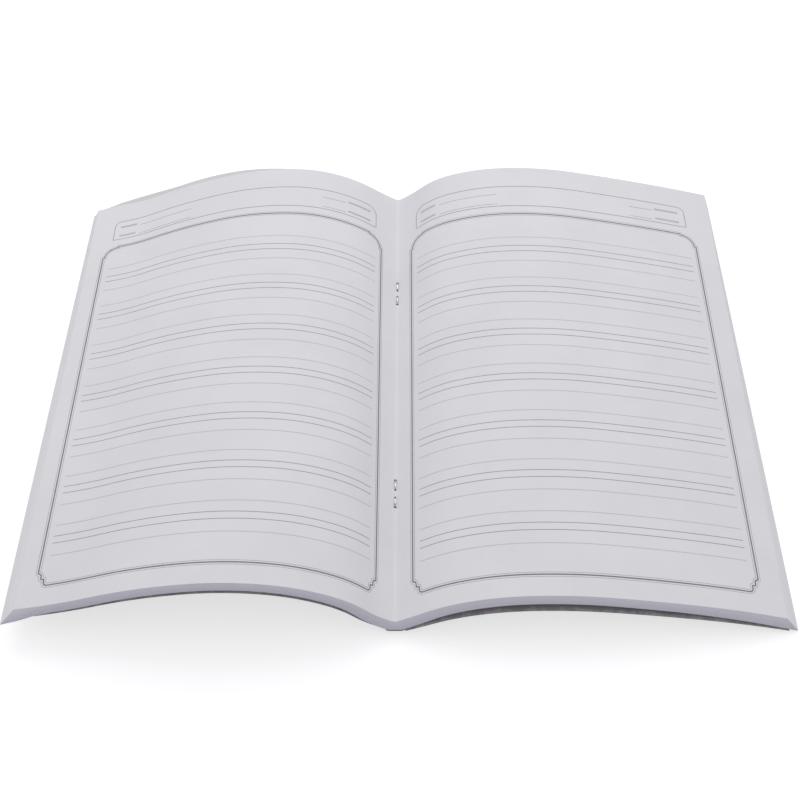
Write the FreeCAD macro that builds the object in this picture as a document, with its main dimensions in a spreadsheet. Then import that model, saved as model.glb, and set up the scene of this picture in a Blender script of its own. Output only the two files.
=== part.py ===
import FreeCAD, Part
import math
import os

import Sketcher
from FreeCAD import Vector

# Stapled exercise notebook, lying open at its centre spread.
# X runs across the spread, Y up the page and Z up.
# The origin is at the middle of the flat under the fold. The book lies on the fore-edge
# corners of its cover, so that the fold stands a little above the table.

CORNERS = ("near_left", "far_left", "near_right", "far_right")

SIZES = [
    # Leaves, in millimetres. One half of the open book is block_depth thick.
    ("page_height", 210.0),
    ("leaf_width", 141.8),
    ("block_depth", 4.8),
    # How much further the outermost leaf reaches than the centre leaf, at each end.
    ("near_creep", 6.9),
    ("far_creep", 3.4),
    # The leaves bend round the fold on gutter_radius until they climb at gutter_slope degrees.
    ("gutter_radius", 1.5),
    ("gutter_slope", 31.0),
    ("rest_width", 4.0),
    # Card cover. It is creased beside the fold, and each panel keeps clear of the leaves.
    ("card_thickness", 0.35),
    # How far each part of the card stands past the leaves at head and tail.
    ("front_cover_overhang", 0.3),
    ("cover_spine_overhang", 1.0),
    ("back_cover_overhang", 1.3),
    ("cover_clearance", 0.25),
    ("crease_gap", 0.25),
    # How much of the leaves' slope each panel follows: a lower share hangs flatter.
    ("front_share", 0.96),
    ("back_share", 0.84),
    # Staples. Each is named by the height of its middle above the middle of the page.
    ("wire_diameter", 0.5),
    ("wire_bend", 0.4),
    ("crown_length", 11.8),
    ("clinch_length", 4.2),
    ("wire_clearance", 0.05),
    ("upper_staple_place", 48.9),
    ("lower_staple_place", -51.5),
    # How high each fore-edge corner of the cover stands above the flat under the fold.
    ("near_left_lift", 9.0),
    ("far_left_lift", -2.6),
    ("near_right_lift", -2.6),
    ("far_right_lift", -1.1),
    # Where along the leaf the slopes below are given, as shares of its width.
    ("station_2", 0.09),
    ("station_3", 0.19),
    ("station_4", 0.352),
    ("station_5", 0.555),
    ("station_6", 0.798),
    ("station_7", 1.0),
]
STATIONS = 7

# Under these an arc is a straight line: a bend in radians, a doubled area in square millimetres.
STRAIGHT_BEND = 1e-6
STRAIGHT_AREA = 1e-7
# Rounds in which the leaves and their cover settle against each other.
SETTLE_ROUNDS = 40

# Slope of the centre leaf at the stations, in degrees, at each end of the two halves.
SLOPES = {
    "near_left": (51.1, 32.2, 11.5, -7.4, -20.6, -11.4),
    "far_left": (38.3, 24.4, 0.9, -15.0, -23.3, -2.8),
    "near_right": (33.1, 18.8, 2.0, -9.9, -14.1, -20.4),
    "far_right": (41.5, 18.0, 1.3, -11.3, -14.0, -16.4),
}

doc = FreeCAD.newDocument("open_notebook")
sheet = doc.addObject("Spreadsheet::Sheet", "sizes")
rows = list(SIZES)
for corner in CORNERS:
    rows += [(f"{corner}_slope_{i}", angle) for i, angle in enumerate(SLOPES[corner], 2)]
for row, (name, value) in enumerate(rows, 1):
    sheet.set(f"A{row}", name)
    sheet.set(f"B{row}", str(value))
    sheet.setAlias(f"B{row}", name)
doc.recompute()


def size(name):
    return float(getattr(sheet, name))


# What follows from the sizes. Heights are above the fold's inner line until lift_up.
gutter = math.radians(size("gutter_slope"))
block_radius = size("gutter_radius") + size("block_depth")
strip_radius = block_radius + size("card_thickness")
panel_depth = size("block_depth") + size("cover_clearance")
panel_radius = block_radius + size("cover_clearance")
block_flat = size("gutter_radius") - math.sqrt(block_radius**2 - (size("rest_width") / 2) ** 2)
strip_flat = block_flat - size("card_thickness")
fold_height = -strip_flat
lift_up = Vector(0, 0, fold_height)


# The leaves' path: a chain of tangent arcs


def stations():
    """Lengths along the centre leaf at which its slope is given, from the end of the gutter."""
    start = size("gutter_radius") * gutter
    return [start] + [size(f"station_{i}") * size("leaf_width") for i in range(2, STATIONS + 1)]


def slopes(corner, turn):
    """Slopes in radians at the stations, all but the gutter's turned by the same angle."""
    given = [math.radians(size(f"{corner}_slope_{i}")) for i in range(2, STATIONS + 1)]
    return [gutter] + [angle + turn for angle in given]


def step(point, length, angle, next_angle):
    """End of an arc that leaves a point at one slope and arrives at the next."""
    bend = next_angle - angle
    if abs(bend) < STRAIGHT_BEND:
        return point + Vector(length * math.cos(angle), 0, length * math.sin(angle))
    radius = length / bend
    across = radius * (math.sin(next_angle) - math.sin(angle))
    up = radius * (math.cos(angle) - math.cos(next_angle))
    return point + Vector(across, 0, up)


def below(point, angle, depth):
    """The point that far under a surface of this slope."""
    return point + Vector(depth * math.sin(angle), 0, -depth * math.cos(angle))


def chain(start, lengths, angles):
    """Tangent arcs as (start, middle, end) points, each with its slope."""
    arcs = []
    point = start
    for length, angle, next_angle in zip(lengths, angles, angles[1:]):
        half = (angle + next_angle) / 2
        middle = step(point, length / 2, angle, half)
        end = step(point, length, angle, next_angle)
        arcs.append(((point, angle), (middle, half), (end, next_angle)))
        point = end
    return arcs


def arc_edge(points):
    first, middle, last = points
    if abs((middle - first).cross(last - first).Length) < STRAIGHT_AREA:
        return Part.makeLine(first, last)
    return Part.Arc(first, middle, last).toShape()


def offset_edges(arcs, depth):
    return [arc_edge([below(point, angle, depth) for point, angle in arc]) for arc in arcs]


def gutter_edge(radius, angle_from, angle_to):
    """Arc round the gutter's axis, by the angle from straight down."""
    centre = Vector(0, 0, size("gutter_radius"))
    turns = (angle_from, (angle_from + angle_to) / 2, angle_to)
    return arc_edge([below(centre, turn, radius) for turn in turns])


def flat_angle(radius, level):
    """Angle from straight down at which a circle round the gutter's axis meets a level."""
    return math.acos((size("gutter_radius") - level) / radius)


def leaf_arcs(corner, turn):
    start = step(Vector(0, 0, 0), size("gutter_radius") * gutter, 0, gutter)
    places = stations()
    lengths = [b - a for a, b in zip(places, places[1:])]
    return chain(start, lengths, slopes(corner, turn))


def creep(corner):
    return size("near_creep" if corner.startswith("near") else "far_creep")


def leaf_foot(corner, turn):
    """Outer corner of the lowest leaf at the fore-edge."""
    end, angle = leaf_arcs(corner, turn)[-1][2]
    foot = below(end, angle, size("block_depth"))
    return foot + Vector(math.cos(angle), 0, math.sin(angle)) * creep(corner)


def panel_arcs(corner, turn, stretch):
    """Inner face of a cover panel, from its crease to its fore-edge."""
    share = size("front_share" if corner.endswith("left") else "back_share")
    places = stations()
    leaf_slopes = slopes(corner, 0)
    lengths = []
    for i, (a, b) in enumerate(zip(places, places[1:])):
        lengths.append(b - a + panel_depth * (leaf_slopes[i + 1] - leaf_slopes[i]))
    lengths.append(creep(corner))
    angles = [share * gutter] + [share * angle + turn for angle in leaf_slopes[1:]]
    angles.append(angles[-1])
    crease = below(Vector(0, 0, size("gutter_radius")), gutter, panel_radius)
    start = crease + Vector(math.cos(gutter), 0, math.sin(gutter)) * size("crease_gap")
    return chain(start, [stretch * length for length in lengths], angles)


def settle(corner):
    """Turns the leaves and their cover panel until the panel's corner stands at its lift, with
    the leaves' corner just above it and both ending at the same place."""
    card = size("card_thickness")
    leaf_turn, panel_turn, stretch = 0.0, 0.0, 1.0
    for _ in range(SETTLE_ROUNDS):
        inner, angle = panel_arcs(corner, panel_turn, stretch)[-1][2]
        low = below(inner, angle, card).z + fold_height
        foot = leaf_foot(corner, leaf_turn)
        panel_turn += (size(f"{corner}_lift") - low) / size("leaf_width")
        leaf_turn += (inner.z + size("cover_clearance") - foot.z) / size("leaf_width")
        stretch *= 1 + (foot.x - inner.x) / size("leaf_width")
    return leaf_turn, panel_turn, stretch


settled = {corner: settle(corner) for corner in CORNERS}


# Sections at the near and far ends


def mirrored(edges):
    return [edge.mirror(Vector(0, 0, 0), Vector(1, 0, 0)) for edge in edges]


def half_block(corner):
    """Outline of one half of the leaves, from the fold round the fore-edge to the flat."""
    arcs = leaf_arcs(corner, settled[corner][0])
    end, angle = arcs[-1][2]
    under = below(end, angle, size("block_depth"))
    foot = leaf_foot(corner, settled[corner][0])
    edges = [gutter_edge(size("gutter_radius"), 0, gutter)]
    edges += offset_edges(arcs, 0)
    edges.append(Part.makeLine(end, foot))
    edges.append(Part.makeLine(foot, under))
    edges += offset_edges(arcs, size("block_depth"))[::-1]
    edges.append(gutter_edge(block_radius, gutter, flat_angle(block_radius, block_flat)))
    return edges


def closed_wire(edges):
    wire = Part.Wire(Part.__sortEdges__(edges))
    wire.translate(lift_up)
    return wire


def flat_edge(radius, level):
    half = radius * math.sin(flat_angle(radius, level))
    return Part.makeLine(Vector(half, 0, level), Vector(-half, 0, level))


def block_wire(end):
    right = half_block(f"{end}_right")
    left = mirrored(half_block(f"{end}_left"))
    return closed_wire(right + [flat_edge(block_radius, block_flat)] + left[::-1])


def panel_wire(corner):
    arcs = panel_arcs(corner, *settled[corner][1:])
    card = size("card_thickness")
    (start, start_angle), _, _ = arcs[0]
    _, _, (end, end_angle) = arcs[-1]
    edges = offset_edges(arcs, 0)
    edges.append(Part.makeLine(end, below(end, end_angle, card)))
    edges += offset_edges(arcs, card)[::-1]
    edges.append(Part.makeLine(below(start, start_angle, card), start))
    if corner.endswith("left"):
        edges = mirrored(edges)
    return closed_wire(edges)


# Document objects


def section(name, wire, place):
    """A section outline, set at its distance from the middle of the page."""
    shape = doc.addObject("Part::Feature", name)
    shape.Shape = wire
    shape.setExpression("Placement.Base.y", place)
    return shape


def loft(name, near, far):
    solid = doc.addObject("Part::Loft", name)
    solid.Sections = [near, far]
    solid.Solid = True
    solid.Ruled = True
    return solid


def box(name, length, width, height, x, y, z):
    solid = doc.addObject("Part::Box", name)
    for key, value in (("Length", length), ("Width", width), ("Height", height)):
        solid.setExpression(key, value)
    for key, value in (("x", x), ("y", y), ("z", z)):
        solid.setExpression(f"Placement.Base.{key}", value)
    return solid


def fused(name, parts):
    solid = doc.addObject("Part::MultiFuse", name)
    solid.Shapes = parts
    return solid


def cut(name, base, tool):
    solid = doc.addObject("Part::Cut", name)
    solid.Base = base
    solid.Tool = tool
    return solid


def origin_plane(body, role):
    return next(plane for plane in body.Origin.OriginFeatures if plane.Role == role)


def new_sketch(body, name, role):
    sketch = body.newObject("Sketcher::SketchObject", name)
    sketch.AttachmentSupport = (origin_plane(body, role), [""])
    sketch.MapMode = "FlatFace"
    return sketch


def bound(sketch, kind, items, value, expression):
    """Adds a dimension and ties it to the sheet."""
    index = sketch.addConstraint(Sketcher.Constraint(kind, *items, value))
    sketch.setExpression(f"Constraints[{index}]", expression)
    return index


STAPLES = {"upper_staple": "upper_staple_place", "lower_staple": "lower_staple_place"}
CARD = "sizes.card_thickness"
WIRE = "sizes.wire_diameter"
PLAY = "sizes.wire_clearance"


# Under each staple the card is pressed up into the fold: a raised bar with the crown's groove in it

bars, grooves, legs = [], [], []
bar_width = f"({WIRE} + 2 * {CARD})"
bar_length = f"(sizes.crown_length + {WIRE} + 2 * {CARD})"
groove_width = f"({WIRE} + 2 * {PLAY})"
groove_length = f"(sizes.crown_length + {WIRE} + 2 * {PLAY})"
for name, place in STAPLES.items():
    middle = f"sizes.{place}"
    bars.append(
        box(
            f"{name}_bar",
            bar_width,
            bar_length,
            f"{WIRE} + {PLAY} + {CARD}",
            f"-{bar_width} / 2",
            f"{middle} - {bar_length} / 2",
            "0",
        )
    )
    grooves.append(
        box(
            f"{name}_groove",
            groove_width,
            groove_length,
            f"{WIRE} + {PLAY}",
            f"-{groove_width} / 2",
            f"{middle} - {groove_length} / 2",
            "0",
        )
    )
    for side, sign in (("head", "+"), ("tail", "-")):
        leg = doc.addObject("Part::Cylinder", f"{name}_{side}_hole")
        leg.setExpression("Radius", f"{WIRE} / 2 + {PLAY}")
        leg.setExpression("Height", "sizes.block_depth + sizes.gutter_radius")
        leg.setExpression("Placement.Base.y", f"{middle} {sign} sizes.crown_length / 2")
        leg.setExpression("Placement.Base.z", f"{WIRE} / 2")
        legs.append(leg)

# Leaves

near_block = section("near_block", block_wire("near"), "-sizes.page_height / 2")
far_block = section("far_block", block_wire("far"), "sizes.page_height / 2")
block = loft("page_block", near_block, far_block)
pages = cut("pages", block, fused("page_cuts", bars + legs))

# Cover panels

panels = []
for label, side in (("front_cover", "left"), ("back_cover", "right")):
    ends = []
    for end, sign in (("near", "-"), ("far", "")):
        place = f"{sign}(sizes.page_height / 2 + sizes.{label}_overhang)"
        ends.append(section(f"{label}_{end}", panel_wire(f"{end}_{side}"), place))
    panels.append(loft(label, *ends))

# Strip of card round the fold

strip_body = doc.addObject("PartDesign::Body", "fold_strip")
strip_sketch = new_sketch(strip_body, "fold_strip_outline", "XZ_Plane")
inner_flat = flat_angle(block_radius, block_flat)
outer_flat = flat_angle(strip_radius, strip_flat)
strip_half = [
    gutter_edge(block_radius, inner_flat, gutter),
    Part.makeLine(
        below(Vector(0, 0, size("gutter_radius")), gutter, block_radius),
        below(Vector(0, 0, size("gutter_radius")), gutter, strip_radius),
    ),
    gutter_edge(strip_radius, gutter, outer_flat),
]
strip_edges = strip_half + mirrored(strip_half)
strip_edges += [flat_edge(block_radius, block_flat), flat_edge(strip_radius, strip_flat)]
for edge in strip_edges:
    edge.translate(lift_up)
    edge.rotate(Vector(0, 0, 0), Vector(1, 0, 0), -90)
    curve = edge.Curve
    if isinstance(curve, Part.Circle):
        ends = (edge.firstVertex(True).Point, edge.valueAt(sum(edge.ParameterRange) / 2))
        strip_sketch.addGeometry(Part.Arc(*ends, edge.lastVertex(True).Point), False)
    else:
        strip_sketch.addGeometry(Part.LineSegment(*[v.Point for v in edge.Vertexes]), False)
doc.recompute()
strip_pad = strip_body.newObject("PartDesign::Pad", "fold_strip_pad")
strip_pad.Profile = strip_sketch
strip_pad.Midplane = True
strip_pad.setExpression("Length", "sizes.page_height + 2 * sizes.cover_spine_overhang")
strip_sketch.Visibility = False

cover_spine = cut(
    "cover_spine",
    fused("strip_and_bars", [strip_body] + bars),
    fused("spine_cuts", grooves + legs),
)

# Staples: half of the wire's path is swept from the middle of the crown, then mirrored


def staple(name, place):
    body = doc.addObject("PartDesign::Body", name)
    half_crown = size("crown_length") / 2
    bend = size("wire_bend")
    low = size("wire_diameter") / 2
    high = fold_height + size("wire_diameter") / 2 + size("wire_clearance")
    tip = half_crown - bend - size("clinch_length")
    path = new_sketch(body, f"{name}_path", "YZ_Plane")
    diagonal = bend * math.cos(math.pi / 4)
    lower = Vector(half_crown - bend, low + bend, 0)
    upper = Vector(half_crown - bend, high - bend, 0)
    shapes = [
        Part.LineSegment(Vector(0, low, 0), Vector(half_crown - bend, low, 0)),
        Part.Arc(
            Vector(half_crown - bend, low, 0),
            lower + Vector(diagonal, -diagonal, 0),
            Vector(half_crown, low + bend, 0),
        ),
        Part.LineSegment(Vector(half_crown, low + bend, 0), Vector(half_crown, high - bend, 0)),
        Part.Arc(
            Vector(half_crown, high - bend, 0),
            upper + Vector(diagonal, diagonal, 0),
            Vector(half_crown - bend, high, 0),
        ),
        Part.LineSegment(Vector(half_crown - bend, high, 0), Vector(tip, high, 0)),
    ]
    for shape in shapes:
        path.addGeometry(shape, False)
    start, end = 1, 2
    for first in range(len(shapes) - 1):
        second = first + 1
        joint = (first, end, second, start)
        path.addConstraint(Sketcher.Constraint("Tangent", *joint))
    path.addConstraint(Sketcher.Constraint("Horizontal", 0))
    path.addConstraint(Sketcher.Constraint("Vertical", 2))
    path.addConstraint(Sketcher.Constraint("Horizontal", 4))
    path.addConstraint(Sketcher.Constraint("PointOnObject", 0, start, -2))
    bound(path, "DistanceY", (-1, 1, 0, start), low, f"{WIRE} / 2")
    bound(path, "DistanceX", (-1, 1, 2, start), half_crown, "sizes.crown_length / 2")
    bound(path, "Radius", (1,), bend, "sizes.wire_bend")
    bound(path, "Radius", (3,), bend, "sizes.wire_bend")
    level = path.addConstraint(Sketcher.Constraint("DistanceY", -1, 1, 4, start, high))
    path.renameConstraint(level, "clinch_level")
    bound(path, "DistanceX", (4, end, 4, start), size("clinch_length"), "sizes.clinch_length")

    wire = new_sketch(body, f"{name}_wire", "XZ_Plane")
    wire.addGeometry(Part.Circle(Vector(0, low, 0), Vector(0, 0, 1), low), False)
    wire.addConstraint(Sketcher.Constraint("PointOnObject", 0, 3, -2))
    bound(wire, "DistanceY", (-1, 1, 0, 3), low, f"{WIRE} / 2")
    bound(wire, "Diameter", (0,), 2 * low, WIRE)
    doc.recompute()

    sweep = body.newObject("PartDesign::AdditivePipe", f"{name}_half")
    sweep.Profile = wire
    sweep.Spine = path
    doc.recompute()
    whole = body.newObject("PartDesign::Mirrored", f"{name}_both")
    whole.Originals = [sweep]
    whole.MirrorPlane = (origin_plane(body, "XZ_Plane"), [""])
    body.Tip = whole
    body.setExpression("Placement.Base.y", f"sizes.{place}")
    return body


staples = [staple(name, place) for name, place in STAPLES.items()]

doc.recompute()

# Checks and output

NODES = [pages, cover_spine] + panels + staples
for item in doc.Objects:
    bad = {"Invalid", "Error"} & set(item.State)
    if bad:
        raise RuntimeError(f"{item.Name} failed: {bad}")
for node in NODES:
    shape = node.Shape
    if shape.isNull() or not shape.isValid() or len(shape.Solids) != 1:
        raise RuntimeError(f"{node.Label} is not one valid solid")

os.makedirs("parts", exist_ok=True)
for node in NODES:
    node.Shape.exportStep(f"parts/{node.Label}.step")
    print(node.Label, round(node.Shape.Volume, 2), node.Shape.BoundBox)

hinge = below(Vector(0, 0, size("gutter_radius")), gutter, panel_radius + size("card_thickness"))
hinge += Vector(math.cos(gutter), 0, math.sin(gutter)) * (size("crease_gap") / 2) + lift_up
print("hinge line", round(hinge.x, 3), round(hinge.z, 3), "fold", round(fold_height, 3))
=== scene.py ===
import math

import bpy
import numpy as np
from mathutils import Matrix, Vector

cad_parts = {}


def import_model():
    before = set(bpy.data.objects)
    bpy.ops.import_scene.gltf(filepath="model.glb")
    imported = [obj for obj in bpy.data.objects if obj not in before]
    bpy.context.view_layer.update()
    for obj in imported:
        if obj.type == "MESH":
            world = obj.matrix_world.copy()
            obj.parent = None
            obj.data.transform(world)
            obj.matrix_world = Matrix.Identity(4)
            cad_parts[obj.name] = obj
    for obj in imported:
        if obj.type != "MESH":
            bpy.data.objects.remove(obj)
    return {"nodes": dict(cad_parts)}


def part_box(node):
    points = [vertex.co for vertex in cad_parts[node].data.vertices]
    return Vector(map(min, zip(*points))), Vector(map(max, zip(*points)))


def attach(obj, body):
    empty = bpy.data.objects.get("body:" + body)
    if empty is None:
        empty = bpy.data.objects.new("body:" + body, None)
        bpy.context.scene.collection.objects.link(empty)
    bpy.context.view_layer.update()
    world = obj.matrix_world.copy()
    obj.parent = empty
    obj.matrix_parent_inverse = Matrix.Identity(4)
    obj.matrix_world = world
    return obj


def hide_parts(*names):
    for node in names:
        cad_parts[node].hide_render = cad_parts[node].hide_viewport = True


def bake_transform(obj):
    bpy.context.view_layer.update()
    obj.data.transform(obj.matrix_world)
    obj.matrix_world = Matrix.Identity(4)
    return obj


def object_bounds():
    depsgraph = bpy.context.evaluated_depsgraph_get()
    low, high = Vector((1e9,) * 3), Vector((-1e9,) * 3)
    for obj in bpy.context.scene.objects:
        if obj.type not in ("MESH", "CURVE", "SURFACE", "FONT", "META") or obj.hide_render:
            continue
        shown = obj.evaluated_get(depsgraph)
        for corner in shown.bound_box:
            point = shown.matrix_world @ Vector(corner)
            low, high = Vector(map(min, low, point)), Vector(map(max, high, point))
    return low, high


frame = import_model()
cad_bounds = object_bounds()

# Open exercise notebook: the leaves with their print, the card cover and two staples.
# Metres. X runs across the spread, Y up the page and Z up. The origin is at the middle of the
# flat under the fold.

MM = 0.001
TINY = 1e-6
random = np.random.default_rng(7)

# Leaves
LEAVES = 36
LEAF_GAP = 0.018 * MM
LEAF_GROOVE = 0.03 * MM
# A leaf's cut edge stands back by a fixed share of its raggedness, and drifts by the rest.
LEAF_RAGGED = 0.05 * MM
RAGGED_FIXED = 0.6
RAGGED_DRIFT = 23 * MM
GUTTER_REACH = 1.4 * MM
GUTTER_COLUMNS = 9
LEAF_COLUMNS = 100
LEAF_ROWS = 61
# The upper leaves stand in faint waves. Each wave has its length across and up the page.
WAVE = 0.10 * MM
LONG_WAVE = (31 * MM, 47 * MM)
SHORT_WAVE = (13 * MM, 21 * MM)
SHORT_WAVE_SHARE = 0.4
WAVE_FADE = 20 * MM
WAVE_TURN = {"left": 1.3, "right": 4.1}
# Under the top leaf of the left half the leaves are fanned out past its far edge. Each swell has
# its middle and half width, as shares of the leaf, and its reach.
FAN_SWELLS = ((0.64, 0.40, 3.1 * MM), (0.865, 0.155, 2.5 * MM))
FAN_LEAVES = (0, 3, 6, 20)
FAN_SHARES = (0.0, 1.0, 1.0, 0.0)
# The far left corner is drawn in a little, from that share of the leaf outward.
DRAWN_FROM = 0.93
DRAWN_IN = 2.0 * MM
# At the near end the lower leaves stand out: how far the lowest does, by place across the spread
# as a share of the leaf.
LEAN_PLACES = (-1.0, -0.957, -0.916, -0.87, -0.12, 0.0, 0.10, 0.70, 1.0)
LEAN_REACH = (
    2.7 * MM, 1.9 * MM, 0.55 * MM, 0.15 * MM, 0.15 * MM, 0.85 * MM, 0.50 * MM, 0.50 * MM, 1.1 * MM
)

# Cover
CARD_COLUMNS = 90
CARD_ROWS = 61
CARD_ROUNDING = 0.10 * MM
# Layers through the card as shares of its thickness, and how far each is rounded at its edges
CARD_LAYERS = np.array([0.0, 0.12, 0.5, 0.88, 1.0])
CARD_INSETS = np.array([1.0, 0.25, 0.0, 0.25, 1.0]) * CARD_ROUNDING
WEAR_REACH = 1.6 * MM
CREASE_SINK = 0.08 * MM
CREASE_INSET = 0.03 * MM
CREASE_WEAR = 0.6
CREASE_COLUMNS = 5

# Staples: round wire, bowed where it is clinched, its tips sunk into the paper
WIRE_SIDES = 12
WIRE_BEND = 0.5 * MM
WIRE_BEND_POINTS = 7
CLINCH_LENGTH = 4.2 * MM
CLINCH_BOW = 0.22 * MM
TIP_SINK = 0.30 * MM
TIP_SINK_POWER = 4
TIP_TAPER = 0.45
STAPLE_ASIDE = {"upper_staple": -0.08 * MM, "lower_staple": -0.30 * MM}
CLINCH_SHARES = np.linspace(0.08, 1, 14)
# Discs of painted shade round each leg and tip: their radii, how far they stand over and under the
# leaf, and their cells
LEG_MARK = 0.54 * MM
TIP_MARK = 0.40 * MM
MARK_TOP = 0.015 * MM
MARK_FOOT = 0.12 * MM
MARK_CELLS = 8
# Painted shade on the wire: its share on the crown and legs, and how fast it falls from each
# clinch's ends to none in its middle
LEG_WIRE_SHADE = 0.4
CLINCH_WIRE_SHADE_POWER = 1.5

# Print, as strips of ink. Shares of the page's height are from its middle, shares of its width
# from the fold.
INK_TOP = 0.035 * MM
INK_FOOT = 0.05 * MM
INK_STEP = 1.2 * MM
ARC_STEP = 0.5 * MM
ARC_POINTS = 3
THIN_LINE = 0.16 * MM
RULE_LINE = 0.24 * MM
PINK_LINE = 0.30 * MM
FRAME_LINE = 0.50 * MM
FRAME_SPREAD = 0.85 * MM
HEADING_LINE = 0.28 * MM
GROUPS = 7
FIRST_LINE = 0.3020
GROUP_PITCH = 0.1066
LINE_OFFSETS = (0.0, 0.0227, 0.0371, 0.0626)
BOX_TOP = 0.4452
BOX_FOOT = 0.3896
FRAME_TOP = 0.3670
FRAME_FOOT = -0.4600
FRAME_INNER = {"left": 0.0587, "right": 0.0475}
FRAME_OUTER = {"left": 0.9529, "right": 0.9361}
# The print stands further from the fold at the foot of the page, by that much.
FOOT_SHIFT = {"left": 0.0 * MM, "right": 0.7 * MM}
# The frame's upper corners: a large arc between two small ears
EAR = 0.6 * MM
EAR_REACH = 6.5 * MM
# Its lower corners: two steps, each inward and upward, with the radii of their turns
FIRST_STEP = (1.4 * MM, 5.2 * MM)
SECOND_STEP = (2.7 * MM, 2.7 * MM)
STEP_RUN = 1.6 * MM
STEP_RADII = (1.5 * MM, 0.3 * MM, 0.3 * MM, 1.2 * MM, 0.3 * MM)
BOX_INSET = 2.9 * MM
BOX_RADII = (4.5 * MM, 3.0 * MM)
RULE_INSET = 3.2 * MM
# The heading box has two rows, as shares of its height from the top. Each row has plain bars and
# writing lines, as shares of its width from the reader's left.
HEADING_ROWS = (0.40, 0.88)
HEADING_MARKS = (
    ("bar", 0.022, 0.085), ("line", 0.10, 0.31), ("line", 0.79, 0.875), ("bar", 0.885, 0.975),
)
BAR_WIDTH = 1.0 * MM
BAR_LIFT = 0.9 * MM

# Camera: where it stands and how it is turned, found from the ruling in the photograph
CAMERA_PLACE = Vector((0.013215, -0.332262, 0.422958))
CAMERA_PITCH = 52.1267
CAMERA_YAW = -2.10825
CAMERA_ROLL = -2.33177
FOCAL_PIXELS = 1350.044
IMAGE_PIXELS = 800
SENSOR = 36.0
CLIP_START = 10 * MM

# Floor and light
FLOOR_SIZE = 8.0
FLOOR_DROP = 0.2 * MM
FLOOR_GLOW = 0.62
WORLD_TONE = (0.985, 0.97, 0.965, 1.0)
WORLD_LEVEL = 0.73
KEY_PLACE = Vector((0.02, 0.55, 0.8))
KEY_SIZE = 0.9
KEY_POWER = 3.9
WHITE = (1, 1, 1, 1)


# Curves read from the frame


class Curve:
    """A smooth plane curve through points (x, z), measured along its length."""

    def __init__(self, points):
        self.points = np.array(points)
        steps = np.linalg.norm(np.diff(self.points, axis=0), axis=1)
        self.places = np.concatenate([[0.0], np.cumsum(steps)])
        self.length = self.places[-1]
        self.slopes = np.gradient(self.points, self.places, axis=0, edge_order=2)

    def at(self, lengths):
        """Points and unit directions there. Beyond its end the curve goes straight on."""
        lengths = np.asarray(lengths, float)
        i = np.clip(np.searchsorted(self.places, lengths, "right") - 1, 0, len(self.places) - 2)
        span = (self.places[i + 1] - self.places[i])[..., None]
        t = np.clip((lengths - self.places[i])[..., None] / span, 0, 1)
        p, q = self.points[i], self.points[i + 1]
        m, n = self.slopes[i] * span, self.slopes[i + 1] * span
        point = (2 * t**3 - 3 * t**2 + 1) * p + (t**3 - 2 * t**2 + t) * m
        point += (3 * t**2 - 2 * t**3) * q + (t**3 - t**2) * n
        way = (6 * t**2 - 6 * t) * (p - q) + (3 * t**2 - 4 * t + 1) * m + (3 * t**2 - 2 * t) * n
        way /= np.linalg.norm(way, axis=-1, keepdims=True)
        beyond = np.maximum(lengths - self.length, 0)[..., None]
        return point + way * beyond, way


def end_outline(node, end):
    """Points (x, z) round a node's section at its near (-1) or far (+1) end, in order."""
    mesh = frame["nodes"][node].data
    points = np.array([v.co[:] for v in mesh.vertices])
    level = points[:, 1].min() if end < 0 else points[:, 1].max()
    keys = [tuple(np.round(p / TINY).astype(int)) for p in points]
    at_end = np.abs(points[:, 1] - level) < TINY
    place = {}
    sides = {}
    for face in mesh.polygons:
        corners = list(face.vertices)
        if not all(at_end[v] for v in corners):
            continue
        for a, b in zip(corners, corners[1:] + corners[:1]):
            place[keys[a]] = points[a][[0, 2]]
            if (keys[b], keys[a]) in sides:
                del sides[(keys[b], keys[a])]
            else:
                sides[(keys[a], keys[b])] = True
    following = {a: b for a, b in sides}
    first = key = next(iter(following))
    loop = []
    while True:
        loop.append(place[key])
        key = following[key]
        if key == first:
            return np.array(loop)


def path_between(loop, start, end):
    """The loop's points from one index to another, going forward."""
    count = (end - start) % len(loop)
    return loop[[(start + i) % len(loop) for i in range(count + 1)]]


def ways_between(loop, left, right):
    """The two ways from the left index to the right one, the higher first."""
    ways = [path_between(loop, left, right), path_between(loop, right, left)[::-1]]
    return sorted(ways, key=lambda way: -way[:, 1].mean())


PAGES_LOW, PAGES_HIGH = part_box("pages")
PAGE_HEIGHT = PAGES_HIGH.y - PAGES_LOW.y
SIGN = {"left": -1, "right": 1}

leaf_curves = {}
leaf_creep = []
for end in (-1, 1):
    loop = end_outline("pages", end)
    left, right = loop[:, 0].argmin(), loop[:, 0].argmax()
    top, bottom = ways_between(loop, left, right)
    fold = np.abs(top[:, 0]).argmin()
    leaf_curves["right", end] = Curve(top[fold:-1])
    leaf_curves["left", end] = Curve(top[fold:0:-1])
    BLOCK_DEPTH = np.linalg.norm(top[1] - bottom[1])
    leaf_creep.append(np.linalg.norm(bottom[0] - bottom[1]))
    REST_LEVEL = bottom[np.abs(bottom[:, 0]).argmin(), 1]
LEAF_WIDTH = min(curve.length for curve in leaf_curves.values())


def ruled_points(curves, sign, across, up, height, depth):
    """Points of a sheet stretched between a near and a far curve, at a depth under it."""
    share = (np.asarray(up) / height + 0.5)[..., None]
    near, near_way = curves[0].at(across)
    far, far_way = curves[1].at(across)
    way = near_way * (1 - share) + far_way * share
    way /= np.linalg.norm(way, axis=-1, keepdims=True)
    point = near * (1 - share) + far * share
    point[..., 0] += sign * depth * way[..., 1]
    point[..., 1] -= sign * depth * way[..., 0]
    return np.stack([point[..., 0], np.broadcast_to(up, across.shape), point[..., 1]], -1)


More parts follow.
